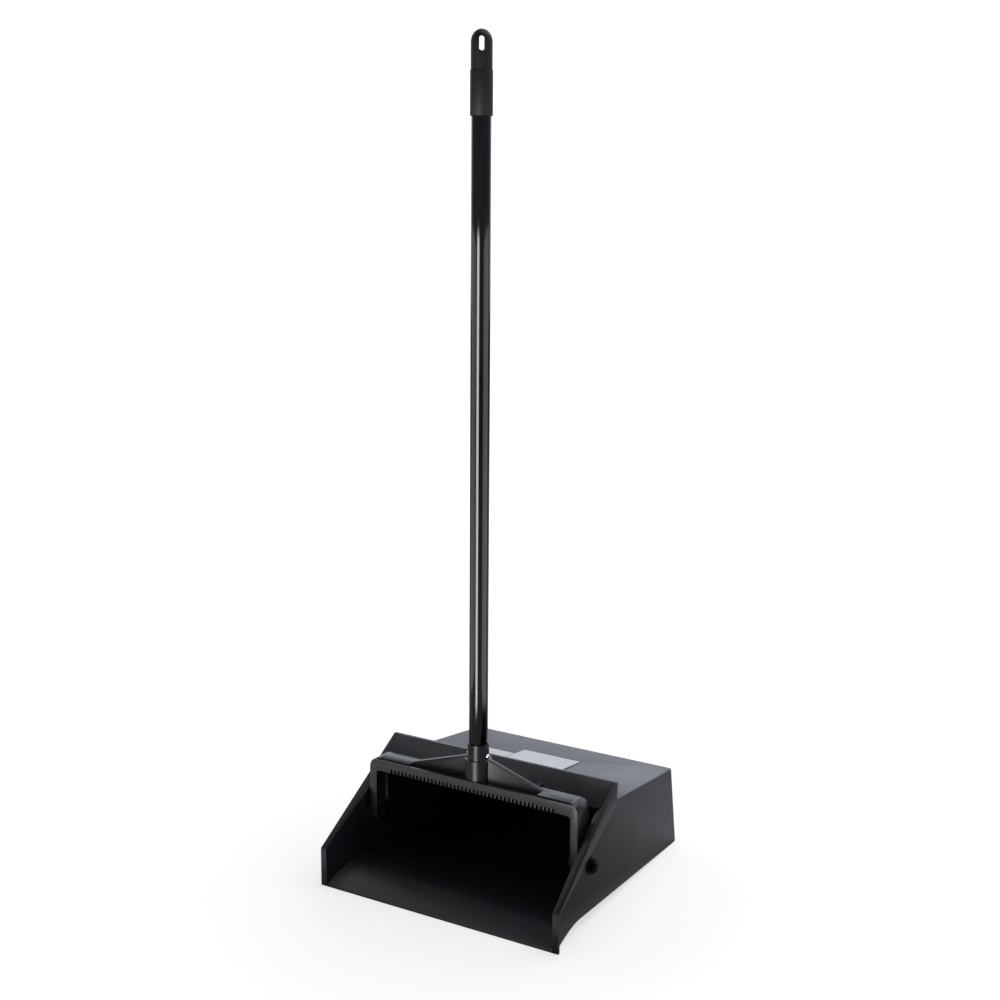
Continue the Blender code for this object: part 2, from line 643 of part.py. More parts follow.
def make_sleeve(datum):
    inner = TUBE_R + SOCKET_FIT
    outer = inner + SLEEVE_WALL
    low = TUBE_TOP_Z - SLEEVE_LENGTH
    soft = SLEEVE_WALL / 2
    profile = [(inner, low), (outer - soft, low), (outer, low + soft), (outer, TUBE_TOP_Z - soft)]
    profile += [(outer - soft, TUBE_TOP_Z), (inner, TUBE_TOP_Z)]
    bm = turned(profile, (0.0, HANDLE_Y, 0.0))
    piece("grip_sleeve", bm, "grip_polymer", datum, smooth=True)


def make_cap(datum):
    """The domed end cap with its hang slot; its spigot plugs the tube."""
    low = HANDLE_TOP_Z - CAP_HEIGHT
    spigot_r = TUBE_R - TUBE_WALL - SOCKET_FIT
    spring_z = HANDLE_TOP_Z - CAP_DOME
    profile = [(0.0, low - CAP_SPIGOT), (spigot_r, low - CAP_SPIGOT), (spigot_r, low), (CAP_R, low)]
    for i in range(DOME_STEPS):
        angle = math.pi / 2 * i / DOME_STEPS
        profile.append((CAP_R * math.cos(angle), spring_z + CAP_DOME * math.sin(angle)))
    profile.append((0.0, HANDLE_TOP_Z))
    bm = turned(profile, (0.0, HANDLE_Y, 0.0))
    cap = piece("hang_cap", bm, "grip_polymer", datum, smooth=True)

    middle_z = HANDLE_TOP_Z - SLOT_CENTRE_DROP
    reach = CAP_R + WALL
    slot = bmesh.new()
    sections = []
    for depth, width in ((-reach, SLOT_MOUTH), (0.0, SLOT_WIDTH), (reach, SLOT_MOUTH)):
        half = width / 2
        rise = SLOT_HEIGHT / 2 - half
        loop = arc((0.0, middle_z + rise), half, 0, 180, 8)
        loop += arc((0.0, middle_z - rise), half, 180, 360, 8)
        sections.append([slot.verts.new((x, depth, z)) for x, z in loop])
    slot.faces.new(sections[0])
    slot.faces.new(list(reversed(sections[-1])))
    for near, far in zip(sections, sections[1:]):
        for i in range(len(near)):
            j = (i + 1) % len(near)
            slot.faces.new((near[j], near[i], far[i], far[j]))
    bmesh.ops.rotate(slot, verts=slot.verts, matrix=Matrix.Rotation(SLOT_TURN, 3, "Z"))
    bmesh.ops.translate(slot, verts=slot.verts, vec=(0.0, HANDLE_Y, 0.0))
    combine(cap, "DIFFERENCE", slot)


def clear_scene():
    for obj in list(bpy.data.objects):
        bpy.data.objects.remove(obj, do_unlink=True)


def build():
    clear_scene()
    pan = make_datum("pan_datum", 0.0, 0.0)
    handle = make_datum("handle_pivot", PIVOT_Y, PIVOT_Z)
    make_pan(pan)
    make_label("info_label", INFO_LABEL_X, INFO_LABEL_Y, INFO_LABEL_WIDTH, INFO_LABEL_LENGTH, pan)
    make_label("side_label", SIDE_LABEL_X, SIDE_LABEL_Y, SIDE_LABEL_WIDTH, SIDE_LABEL_LENGTH, pan)
    for side in (-1, 1):
        make_pivot(side, pan)
    make_yoke(handle)
    make_tube(handle)
    make_rivet(handle)
    make_sleeve(handle)
    make_cap(handle)


build()
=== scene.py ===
# %% [markdown]
# # An upright lobby dust pan
# Cleaners in shops and stations sweep into a pan like this without bending down. It has three
# parts that matter to the eye: a hooded black bin, a U-shaped yoke that the bin hangs on, and a
# long enamelled tube with a grip. This lesson models each of them over a measured model of the
# same pan, so every piece takes its place from that model and not from guesswork.

import json
import math

import bmesh
import bpy
from mathutils import Matrix, Vector


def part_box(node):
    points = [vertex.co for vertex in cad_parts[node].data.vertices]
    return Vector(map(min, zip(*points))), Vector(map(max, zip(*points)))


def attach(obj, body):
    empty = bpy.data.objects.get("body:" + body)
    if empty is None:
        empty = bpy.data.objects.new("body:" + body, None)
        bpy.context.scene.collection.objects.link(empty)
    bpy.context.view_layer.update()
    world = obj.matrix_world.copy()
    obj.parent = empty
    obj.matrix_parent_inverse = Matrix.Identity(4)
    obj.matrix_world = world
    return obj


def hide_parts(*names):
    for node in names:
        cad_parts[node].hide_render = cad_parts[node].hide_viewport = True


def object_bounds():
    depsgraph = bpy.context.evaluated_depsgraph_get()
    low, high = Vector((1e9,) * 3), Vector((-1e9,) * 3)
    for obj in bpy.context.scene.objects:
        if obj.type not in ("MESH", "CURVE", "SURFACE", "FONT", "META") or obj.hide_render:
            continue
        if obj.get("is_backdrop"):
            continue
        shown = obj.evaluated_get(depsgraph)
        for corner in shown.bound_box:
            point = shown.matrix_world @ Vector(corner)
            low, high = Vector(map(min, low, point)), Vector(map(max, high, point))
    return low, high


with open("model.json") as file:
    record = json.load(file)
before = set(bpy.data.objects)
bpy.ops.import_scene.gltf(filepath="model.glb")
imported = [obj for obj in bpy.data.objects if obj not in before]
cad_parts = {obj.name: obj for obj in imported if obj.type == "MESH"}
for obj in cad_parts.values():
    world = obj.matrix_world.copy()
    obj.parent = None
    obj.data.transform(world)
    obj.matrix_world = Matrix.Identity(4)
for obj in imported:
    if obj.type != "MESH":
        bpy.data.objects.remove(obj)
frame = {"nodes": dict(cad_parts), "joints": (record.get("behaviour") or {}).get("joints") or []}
cad_low, cad_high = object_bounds()
print("measured model", tuple(round(v, 4) for v in cad_low), tuple(round(v, 4) for v in cad_high))
for joint in frame["joints"]:
    print("it moves at", joint["name"], joint["range_deg"])

# %% [markdown]
# ## The camera
# A product picture of a tall thin object is taken from a few metres away with a short
# telephoto lens, so that upright lines stay upright. The camera stands to the right of the pan,
# a little above its middle, and looks down by about eleven degrees. It is turned in three
# steps, as a tripod head is: pan, tilt, and a trace of roll.

# %% Place the camera
CAMERA_PLACE = Vector((0.8459, -1.4297, 0.7656))
CAMERA_PAN = 31.19
CAMERA_TILT = -11.38
CAMERA_ROLL = 0.43

camera_data = bpy.data.cameras.new("product_camera")
camera_data.lens = 55.0
camera_data.sensor_width = 36.0
camera = bpy.data.objects.new("product_camera", camera_data)
bpy.context.scene.collection.objects.link(camera)
camera.matrix_world = (
    Matrix.Translation(CAMERA_PLACE)
    @ Matrix.Rotation(math.radians(CAMERA_PAN), 4, "Z")
    @ Matrix.Rotation(math.radians(90.0 + CAMERA_TILT), 4, "X")
    @ Matrix.Rotation(math.radians(CAMERA_ROLL), 4, "Z")
)
bpy.context.scene.camera = camera
print("camera is", round((CAMERA_PLACE - (cad_low + cad_high) / 2).length, 2), "m from the pan")

# %% [markdown]
# ## Colours and nodes
# Colours are easiest to note down as sRGB hex codes, as a paint program shows them, but shaders
# work in linear light, so one function converts them. A second small function adds a node, sets
# it and links it, which keeps every material below short enough to read.

# %% Two helpers for materials
def linear(hex_code):
    """Turns an sRGB hex colour into the linear colour that shaders use."""
    channels = [int(hex_code[i:i + 2], 16) / 255 for i in (0, 2, 4)]
    bent = [c / 12.92 if c <= 0.04045 else ((c + 0.055) / 1.055) ** 2.4 for c in channels]
    return (*bent, 1.0)


def add_node(tree, kind, inputs=None, **settings):
    """Adds a node; a value in inputs may be a number, a colour or another node's output."""
    node = tree.nodes.new("ShaderNode" + kind)
    for name, value in settings.items():
        setattr(node, name, value)
    for name, value in (inputs or {}).items():
        if isinstance(value, bpy.types.NodeSocket):
            tree.links.new(value, node.inputs[name])
        else:
            node.inputs[name].default_value = value
    return node


def new_material(name):
    """An empty material with its Principled shader and the piece's own coordinates."""
    material = bpy.data.materials.new(name)
    material.use_nodes = True
    tree = material.node_tree
    place = add_node(tree, "TexCoord").outputs["Object"]
    return material, tree, tree.nodes["Principled BSDF"], place


print("mid grey 808080 is", round(linear("808080")[0], 3), "in linear light")

# %% [markdown]
# ## Studio
# Black plastic shows almost nothing of its own colour: what we see of it is the room mirrored in
# it. So the studio matters more here than for a bright object. A light dome with a picture of a
# studio could do it, but it would be hard to adjust. This room is worked out from the direction
# alone: white behind the pan, dim behind the camera, dimmer overhead, so each can be set by itself.

# %% Room
BEHIND_PAN = 1.35
ELSEWHERE = 0.30
OVERHEAD = 0.20

world = bpy.data.worlds.new("white_room")
bpy.context.scene.world = world
world.use_nodes = True
room = world.node_tree
toward_camera = Vector((CAMERA_PLACE.x, CAMERA_PLACE.y, 0.0)).normalized()
direction = add_node(room, "TexCoord").outputs["Generated"]
facing = add_node(room, "VectorMath", {0: direction, 1: toward_camera}, operation="DOT_PRODUCT")
around = add_node(room, "MapRange", {
    "Value": facing.outputs["Value"], "From Min": -0.72, "From Max": -0.30,
    "To Min": BEHIND_PAN, "To Max": ELSEWHERE,
}, interpolation_type="SMOOTHSTEP")
height = add_node(room, "SeparateXYZ", {"Vector": direction})
upward = add_node(room, "MapRange", {
    "Value": height.outputs["Z"], "From Min": 0.25, "From Max": 0.85,
    "To Min": 1.0, "To Max": OVERHEAD,
}, interpolation_type="SMOOTHSTEP")
level = add_node(room, "Math", {
    0: around.outputs["Result"], 1: upward.outputs["Result"],
}, operation="MULTIPLY")
ray = add_node(room, "LightPath")
seen = add_node(room, "Mix", {
    0: ray.outputs["Is Camera Ray"], 2: level.outputs["Value"], 3: BEHIND_PAN,
})
background = room.nodes["Background"]
background.inputs["Color"].default_value = linear("ecf2ff")
room.links.new(seen.outputs[0], background.inputs["Strength"])
bpy.context.scene.view_settings.view_transform = "Standard"
print("room light from", ELSEWHERE, "round the camera to", BEHIND_PAN, "behind the pan")

# %% [markdown]
# ## The overhead lamp
# One big soft lamp overhead, a little behind the pan, lights the labels and the paper, and makes
# the soft shadow in front of the lip. A bare bulb would draw a hard shadow, so it is 2.2 m wide.

# %% Overhead lamp
def hang_lamp(name, place, target, width, height, power):
    """A rectangular soft lamp that points at a target."""
    lamp = bpy.data.lights.new(name, "AREA")
    lamp.shape = "RECTANGLE"
    lamp.size, lamp.size_y, lamp.energy = width, height, power
    stand = bpy.data.objects.new(name, lamp)
    bpy.context.scene.collection.objects.link(stand)
    stand.location = place
    stand.rotation_euler = (Vector(target) - Vector(place)).to_track_quat("-Z", "Y").to_euler()
    stand.visible_camera = False
    return stand


hang_lamp("overhead_softbox", (0.5, 0.7, 2.2), (0.0, 0.0, 0.0), 2.2, 2.2, 24.0)
print("a big soft lamp hangs overhead, a little behind the pan")

# %% [markdown]
# ## Lamps for reflections
# The tube needs lamps of its own. A polished cylinder shows a tall narrow lamp as one long line
# of light, and wide dim ones as soft bands beside it. In a studio, black flags keep such lamps
# off everything else. Here light linking does the same: each lamp reaches only the pieces in its
# collection. The strip stands close to the tube, so that its line of light reaches down to the
# socket, and a weaker one in the same place lights the socket. For the pan, a card lies on the
# floor in front, which the upright fronts of the yoke and the rims mirror, and a small softbox
# hangs high on the left for the slanting hood. All of them make reflections only.

# %% Lamps for reflections
on_tube = bpy.data.collections.new("lit_with_the_tube")
on_yoke = bpy.data.collections.new("lit_with_the_yoke")
on_pan = bpy.data.collections.new("lit_with_the_pan")
STRIP_PLACE, TUBE_MIDDLE, TALL = (0.022, -0.37, 0.39), (0.0, -0.07, 0.39), 0.78
for name, place, target, width, height, power, lit in (
        ("left_strip", STRIP_PLACE, TUBE_MIDDLE, 0.13, TALL, 3.6, on_tube),
        ("socket_strip", STRIP_PLACE, TUBE_MIDDLE, 0.13, TALL, 1.4, on_yoke),
        ("left_panel", (-0.32, -0.33, 0.39), TUBE_MIDDLE, 0.50, TALL, 1.35, on_tube),
        ("right_panel", (0.32, -0.02, 0.39), TUBE_MIDDLE, 0.40, TALL, 1.45, on_tube),
        ("floor_card", (-0.28, -0.50, 0.003), (-0.28, -0.50, 1.0), 0.86, 0.62, 0.90, on_pan),
        ("hood_softbox", (-0.66, -0.16, 1.16), (0.0, -0.05, 0.1), 0.75, 0.75, 1.0, on_pan)):
    lamp = hang_lamp(name, place, target, width, height, power)
    lamp.visible_diffuse = False
    lamp.light_linking.receiver_collection = lit
print("four lamps for the handle's reflections, two for the pan's")

# %% [markdown]
# ## The floor
# Product pictures stand on white paper that has no visible end. A very wide plane is enough. Real
# paper is lit until it turns pure white, which here would spoil the reflections in the plastic,
# so the paper stays light grey for them, and a glow that only the camera sees brings it to
# white. The glow is weaker near the pan, which paints a grey shade on the paper round it; the
# real contact shadow also stays.

# %% Floor
# GLOW_NEAR is lower than GLOW_FAR, so the glow paints a grey shade on the paper round the pan
GLOW_NEAR, GLOW_FAR = 0.64, 1.0

bpy.ops.object.select_all(action="DESELECT")
bpy.ops.mesh.primitive_plane_add(size=60.0, location=(0.0, 0.0, -0.0002))
floor = bpy.context.object
floor.name = floor.data.name = "paper_floor"
paper, tree, shader, place = new_material("white_background_paper")
fibres = add_node(tree, "TexNoise", {"Vector": place, "Scale": 500.0, "Detail": 2.0})
tint = add_node(tree, "Mix", {
    0: fibres.outputs["Fac"], 6: linear("d0d0d0"), 7: linear("d6d6d6"),
}, data_type="RGBA")
tree.links.new(tint.outputs[2], shader.inputs["Base Color"])
shader.inputs["Roughness"].default_value = 0.9
shader.inputs["Specular IOR Level"].default_value = 0.1
distance = add_node(tree, "VectorMath", {0: place}, operation="LENGTH")
# painted shade: the glow fades from GLOW_FAR far away to GLOW_NEAR beside the pan
painted_shade_falloff = add_node(tree, "MapRange", {
    "Value": distance.outputs["Value"], "From Min": 0.25, "From Max": 1.2,
    "To Min": GLOW_NEAR, "To Max": GLOW_FAR,
})
glow = add_node(tree, "Math", {
    0: add_node(tree, "LightPath").outputs["Is Camera Ray"], 1: painted_shade_falloff.outputs["Result"],
}, operation="MULTIPLY")
shader.inputs["Emission Color"].default_value = linear("ffffff")
tree.links.new(glow.outputs["Value"], shader.inputs["Emission Strength"])
floor.data.materials.append(paper)
floor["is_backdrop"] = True
print("paper floor is", round(floor.dimensions.x, 1), "m wide")

# %% [markdown]
# ## Materials of the pan
# The bin is injection-moulded polypropylene with carbon black in it. The mould is spark-eroded,
# which leaves a fine grain all over, so the plastic has a broad, soft sheen and never a mirror
# image. Big thin walls also cool unevenly, and the sheen varies slowly across them. The yoke is
# the same plastic from a smoother mould. Polypropylene's IOR is about 1.49; the yoke's is set
# higher, to match how bright its edges look. The grain is really 0.3 mm; it is drawn at about
# 3 mm so that it shows at this distance.

# %% Moulded polypropylene
def moulded_plastic(name, dark, light, smooth, rough, grain_mm, depth_mm, ior=1.48):
    """Black moulded plastic: slow changes of sheen, and a fine mould grain."""
    material, tree, shader, place = new_material(name)
    cooling = add_node(tree, "TexNoise", {"Vector": place, "Scale": 14.0, "Detail": 3.0})
    grain = add_node(tree, "TexNoise", {
        "Vector": place, "Scale": 1000.0 / grain_mm, "Detail": 1.0, "Roughness": 0.5,
    })
    sheen = add_node(tree, "MapRange", {
        "Value": cooling.outputs["Fac"], "From Min": 0.3, "From Max": 0.7,
        "To Min": smooth, "To Max": rough,
    })
    colour = add_node(tree, "Mix", {
        0: grain.outputs["Fac"], 6: linear(dark), 7: linear(light),
    }, data_type="RGBA")
    bump = add_node(tree, "Bump", {
        "Height": grain.outputs["Fac"], "Strength": 0.55, "Distance": depth_mm / 1000.0,
    })
    tree.links.new(colour.outputs[2], shader.inputs["Base Color"])
    tree.links.new(sheen.outputs["Result"], shader.inputs["Roughness"])
    tree.links.new(bump.outputs["Normal"], shader.inputs["Normal"])
    shader.inputs["IOR"].default_value = ior
    return material


bin_plastic = moulded_plastic(
    "grained_black_polypropylene", "1c1d21", "28292e", 0.26, 0.33, grain_mm=3.0, depth_mm=0.11)
yoke_plastic = moulded_plastic(
    "satin_black_polypropylene", "17181a", "212225", 0.24, 0.30,
    grain_mm=2.5, depth_mm=0.04, ior=1.58)
print("plastics:", bin_plastic.name, yoke_plastic.name)

# %% [markdown]
# ## Materials of the handle
# The tube is thin steel with a baked black enamel. Enamel flows before it hardens, so it is
# glossy with a faint orange peel, a few millimetres from bump to bump. The grip is a softer
# plastic that is left matte so that it doesn't slip in the hand.

# %% Enamel and grip
enamel, tree, shader, place = new_material("baked_black_enamel")
peel = add_node(tree, "TexNoise", {"Vector": place, "Scale": 1000.0 / 3.0, "Detail": 1.0})
film = add_node(tree, "TexNoise", {"Vector": place, "Scale": 40.0, "Detail": 4.0})
gloss = add_node(tree, "MapRange", {
    "Value": film.outputs["Fac"], "From Min": 0.35, "From Max": 0.65,
    "To Min": 0.07, "To Max": 0.13,
})
ripple = add_node(tree, "Bump", {
    "Height": peel.outputs["Fac"], "Strength": 0.10, "Distance": 0.0001,
})
tree.links.new(gloss.outputs["Result"], shader.inputs["Roughness"])
tree.links.new(ripple.outputs["Normal"], shader.inputs["Normal"])
shader.inputs["Base Color"].default_value = linear("060607")
shader.inputs["IOR"].default_value = 1.52

grip_plastic = moulded_plastic("matte_grip_plastic", "060607", "0e0e0f", 0.52, 0.62, 1.0, 0.08)
print("handle finishes:", enamel.name, grip_plastic.name)

# %% [markdown]
# ## Small metal, nylon and the label
# The rivet is bright zinc, the pivots have black oxide, which is thin enough to keep a metal's
# shine, and the thrust washers are nylon. The labels are plastic film, left blank here.

# %% Metals, nylon, film
def plated_metal(name, base, smooth, rough, spots_mm):
    """Plated or blackened steel whose sheen changes from spot to spot."""
    material, tree, shader, place = new_material(name)
    spots = add_node(tree, "TexNoise", {"Vector": place, "Scale": 1000.0 / spots_mm, "Detail": 3.0})
    sheen = add_node(tree, "MapRange", {
        "Value": spots.outputs["Fac"], "From Min": 0.3, "From Max": 0.7,
        "To Min": smooth, "To Max": rough,
    })
    bump = add_node(tree, "Bump", {
        "Height": spots.outputs["Fac"], "Strength": 0.2, "Distance": 0.00005,
    })
    tree.links.new(sheen.outputs["Result"], shader.inputs["Roughness"])
    tree.links.new(bump.outputs["Normal"], shader.inputs["Normal"])
    shader.inputs["Base Color"].default_value = linear(base)
    shader.inputs["Metallic"].default_value = 1.0
    return material


zinc = plated_metal("bright_zinc_steel", "d5d6d8", 0.18, 0.32, 0.8)
black_oxide = plated_metal("black_oxide_steel", "2b2b2d", 0.35, 0.5, 1.0)
nylon = moulded_plastic("black_nylon", "121213", "1d1d1f", 0.42, 0.5, 1.0, 0.03)

label_film, tree, shader, place = new_material("blank_label_film")
weave = add_node(tree, "TexNoise", {"Vector": place, "Scale": 90.0, "Detail": 4.0})
tint = add_node(tree, "Mix", {
    0: weave.outputs["Fac"], 6: linear("dadbdd"), 7: linear("e8e9eb"),
}, data_type="RGBA")
tree.links.new(tint.outputs[2], shader.inputs["Base Color"])
shader.inputs["Roughness"].default_value = 0.38
shader.inputs["IOR"].default_value = 1.5
print("metals:", zinc.name, black_oxide.name)

# %% [markdown]
# ## Tools for modelling
# Modelling by hand is a short cycle: select something, act on it, look. In a script, selection
# is by place, so `pick` takes a test on each vertex, edge or face. `only` makes one object the
# active one, `modify` adds a modifier and applies it at once, and `complete` turns the piece's
# place into its mesh, gives it its finish, and hangs it on the body that it moves with.

# %% Modelling helpers
def only(piece):
    """Leaves edit mode and selects this object alone."""
    if bpy.context.mode != "OBJECT":
        bpy.ops.object.mode_set(mode="OBJECT")
    bpy.ops.object.select_all(action="DESELECT")
    piece.select_set(True)
    bpy.context.view_layer.objects.active = piece


def begin(name):
    """Names the primitive that was just added and opens it for editing."""
    piece = bpy.context.object
    piece.name = piece.data.name = name
    bpy.ops.object.mode_set(mode="EDIT")
    return piece


def pick(kind, test):
    """Selects the VERT, EDGE or FACE elements whose middle passes the test; world space."""
    bpy.ops.mesh.select_mode(type=kind)
    bpy.ops.mesh.select_all(action="DESELECT")
    piece = bpy.context.object
    mesh = bmesh.from_edit_mesh(piece.data)
    group = {"VERT": mesh.verts, "EDGE": mesh.edges, "FACE": mesh.faces}[kind]
    count = 0
    for item in group:
        corners = [item] if kind == "VERT" else item.verts
        middle = piece.matrix_world @ (sum((v.co for v in corners), Vector()) / len(corners))
        if test(middle, item):
            item.select = True
            count += 1
    mesh.select_flush_mode()
    bmesh.update_edit_mesh(piece.data)
    return count


def pull(x, y, z):
    """Extrudes what is selected and moves it."""
    bpy.ops.mesh.extrude_region_move(TRANSFORM_OT_translate={"value": (x, y, z)})


def modify(piece, kind, **settings):
    """Adds a modifier with its settings and applies it at once."""
    only(piece)
    modifier = piece.modifiers.new(kind.lower(), kind)
    for name, value in settings.items():
        setattr(modifier, name, value)
    bpy.ops.object.modifier_apply(modifier=modifier.name)


def soften(piece, width, segments=2, angle=30.0):
    """A small radius on every edge sharper than the angle."""
    modify(piece, "BEVEL", width=width, segments=segments, limit_method="ANGLE",
           angle_limit=math.radians(angle), use_clamp_overlap=True, miter_outer="MITER_ARC")


def add_to(piece, *others):
    """Joins other objects into a piece."""
    only(piece)
    for other in others:
        other.select_set(True)
    bpy.ops.object.join()
    return piece


def complete(piece, finish, slot, body, *nodes, smooth=35.0):
    """Puts a piece's place into its mesh, gives it its finish, and hangs it on its body."""
    only(piece)
    bpy.ops.object.transform_apply(location=True, rotation=True, scale=True)
    piece.data.materials.clear()
    piece.data.materials.append(finish)
    bpy.ops.object.shade_smooth_by_angle(angle=math.radians(smooth))
    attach(piece, body)
    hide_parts(*nodes)
    (on_tube if finish in (enamel, grip_plastic, zinc) else on_pan).objects.link(piece)
    print(piece.name, len(piece.data.polygons), "faces, stands for", ", ".join(nodes))


def mirrored(piece, name):
    """A copy with its own mesh on the other side of the pan."""
    only(piece)
    bpy.ops.object.duplicate()
    twin = bpy.context.object
    twin.name = twin.data.name = name
    bpy.ops.object.transform_apply(location=True, rotation=True, scale=True)
    twin.scale.x = -1.0
    bpy.ops.object.transform_apply(location=False, rotation=False, scale=True)
    bpy.ops.object.mode_set(mode="EDIT")
    bpy.ops.mesh.select_all(action="SELECT")
    bpy.ops.mesh.normals_make_consistent(inside=False)
    bpy.ops.object.mode_set(mode="OBJECT")
    return twin


print("helpers ready")

# %% [markdown]
# ## The bin
# The real bin is one moulding with walls under 3 mm, so it is modelled as one thin sheet: a
# strip as wide as the pan, pulled edge by edge along its section. It starts as the flat foot
# under the lip, climbs a ramp, falls to the heel, turns up the leaning rear wall, comes forward
# along the top, rises over the ridge and comes down the hood. Two flat sides close it, and a
# Solidify modifier gives the sheet its wall. A box with its middle cut out would look the same
# from afar, but its walls would not follow the section.

# %% Sizes of the bin
pan_low, pan_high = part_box("pan_body")
LIP = pan_low.y
PAN_DEPTH = pan_high.y - pan_low.y
MOUTH_WIDTH = 0.305
RIM_OUT = 0.0047
SIDE_TAPER = 0.0416
WALL = 0.0028
LIP_FLAT, HEEL_FLAT = 0.004, 0.012
CREST = Vector((0.0, 0.057, 0.0126))
REAR_TOP = Vector((0.0, PAN_DEPTH - 0.0195, 0.0980))
RIDGE_FOOT = Vector((0.0, 0.1395, 0.1163))
RIDGE_TOP = Vector((0.0, 0.1395, pan_high.z))
PEAK = Vector((0.0, 0.1360, pan_high.z))
LIP_SIDE_Z = 0.044
HOOD_LOW_Y = 0.107
HOOD_RETURN = 0.006
REAR_CORNER_R, TOP_EDGE_R = 0.004, 0.0015
LIP_THINNED_BY = 0.0014

slant = (PEAK - Vector((0.0, 0.0, LIP_SIDE_Z))).normalized()
inward = Vector((0.0, slant.z, -slant.y))
hood_low = Vector((0.0, HOOD_LOW_Y, LIP_SIDE_Z + slant.z / slant.y * HOOD_LOW_Y))


def side_x(y):
    """Half width to the outside of the bin's walls, at y behind the lip."""
    return MOUTH_WIDTH / 2 - RIM_OUT - SIDE_TAPER * y


ramp = [Vector((0.0, LIP_FLAT + (CREST.y - LIP_FLAT) * i / 10,
                CREST.z * math.sin(math.pi / 2 * i / 10))) for i in range(1, 11)]
section = ramp + [Vector((0.0, PAN_DEPTH - HEEL_FLAT, 0.0)), Vector((0.0, PAN_DEPTH, 0.0)),
                  REAR_TOP, RIDGE_FOOT, RIDGE_TOP, PEAK, hood_low]
print("the section has", len(section), "steps, pan depth", round(PAN_DEPTH, 4))

# %% Pull the strip along the section
bpy.ops.object.select_all(action="DESELECT")
bpy.ops.mesh.primitive_plane_add(size=1.0, location=(0.0, LIP + LIP_FLAT / 2, 0.0))
bin_shell = begin("bin_shell")
bpy.ops.transform.resize(value=(2 * side_x(0.0), LIP_FLAT, 1.0))
pick("EDGE", lambda m, e: m.y > LIP + LIP_FLAT * 0.9)
here = Vector((0.0, LIP_FLAT, 0.0))
for there in section:
    step = there - here
    pull(0.0, step.y, step.z)
    narrower = side_x(there.y) / side_x(here.y)
    bpy.ops.transform.resize(value=(narrower, 1.0, 1.0), center_override=(0.0, 0.0, 0.0))
    here = there
print("strip ends at", tuple(round(v, 4) for v in here))

# %% Close the two sides
for side in (-1, 1):
    pick("VERT", lambda m, v: m.x * side > 0 and m.z > LIP_SIDE_Z
         and abs(m.y - LIP - hood_low.y) < 0.001)
    outward = side * (side_x(0.0) - side_x(hood_low.y))
    front = Vector((outward, -hood_low.y, LIP_SIDE_Z - hood_low.z))
    bpy.ops.mesh.extrude_vertices_move(TRANSFORM_OT_translate={"value": front})
for side in (-1, 1):
    pick("VERT", lambda m, v: m.x * side > 0)
    bpy.ops.mesh.edge_face_add()
bpy.ops.mesh.select_all(action="SELECT")
bpy.ops.mesh.normals_make_consistent(inside=False)
shell_mesh = bmesh.from_edit_mesh(bin_shell.data)
top_face = max(shell_mesh.faces, key=lambda f: f.calc_center_median().z * (abs(f.normal.z) > 0.9))
if top_face.normal.z < 0:
    bpy.ops.mesh.flip_normals()
print("faces", len(shell_mesh.faces), "top points", "up" if top_face.normal.z > 0 else "down")

# %% Round the rear corners and the top edge
def rear_upright(middle, edge):
    """The two upright corners at the rear."""
    rise = abs(edge.verts[0].co.z - edge.verts[1].co.z)
    return rise > 0.06 and middle.y > LIP + PAN_DEPTH - 0.03


def top_rim(middle, edge):
    """The edges round the top, but not where it meets the ridge."""
    lows = min(v.co.z for v in edge.verts)
    highs = max(v.co.z for v in edge.verts)
    along = lows > REAR_TOP.z - 0.001 and highs < RIDGE_FOOT.z + 0.001
    return along and middle.y > LIP + RIDGE_FOOT.y + 0.001 and edge.calc_face_angle(0.0) > 0.6


print("rear uprights", pick("EDGE", rear_upright))
bpy.ops.mesh.bevel(offset=REAR_CORNER_R, segments=6, affect="EDGES")
print("top rim edges", pick("EDGE", top_rim))
bpy.ops.mesh.bevel(offset=TOP_EDGE_R, segments=4, affect="EDGES")

# %% Fold the hood's lower edge inwards and give the sheet its wall
pick("EDGE", lambda m, e: (m - Vector((0.0, LIP, 0.0)) - hood_low).length < 0.001)
fold = inward * HOOD_RETURN
pull(0.0, fold.y, fold.z)
tuck = (side_x(HOOD_LOW_Y) - WALL / 2) / side_x(HOOD_LOW_Y)
bpy.ops.transform.resize(value=(tuck, 1.0, 1.0), center_override=(0.0, 0.0, 0.0))
modify(bin_shell, "SOLIDIFY", thickness=WALL, offset=-1.0, use_even_offset=True)
bpy.ops.object.mode_set(mode="EDIT")
pick("VERT", lambda m, v: m.y < LIP + 0.001 and WALL / 2 < m.z < WALL * 1.5)
bpy.ops.transform.translate(value=(0.0, 0.0, -LIP_THINNED_BY))
only(bin_shell)
print("bin shell", len(bin_shell.data.polygons), "faces, dimensions", tuple(bin_shell.dimensions))

# %% [markdown]
# ## Rims round the mouth
# Each side of the mouth has a rim that stands out from the wall. It stiffens the edge, and it is
# the crisp line that you see first. It is a bar with two runs, so it starts as a cube for the
# upright run; its top is turned to meet the slant, and then pulled along it. The rim gets wider
# on its way up, and its end closes off the end of the ridge.

# %% Rims
RIM_THICK = 0.003
RIM_END_SINK = 0.0007
inner_x = side_x(0.0) - WALL / 2
outer_x = side_x(0.0) + RIM_OUT
bend_z = LIP_SIDE_Z + inward.z * RIM_THICK + (RIM_THICK - inward.y * RIM_THICK) / slant.y * slant.z

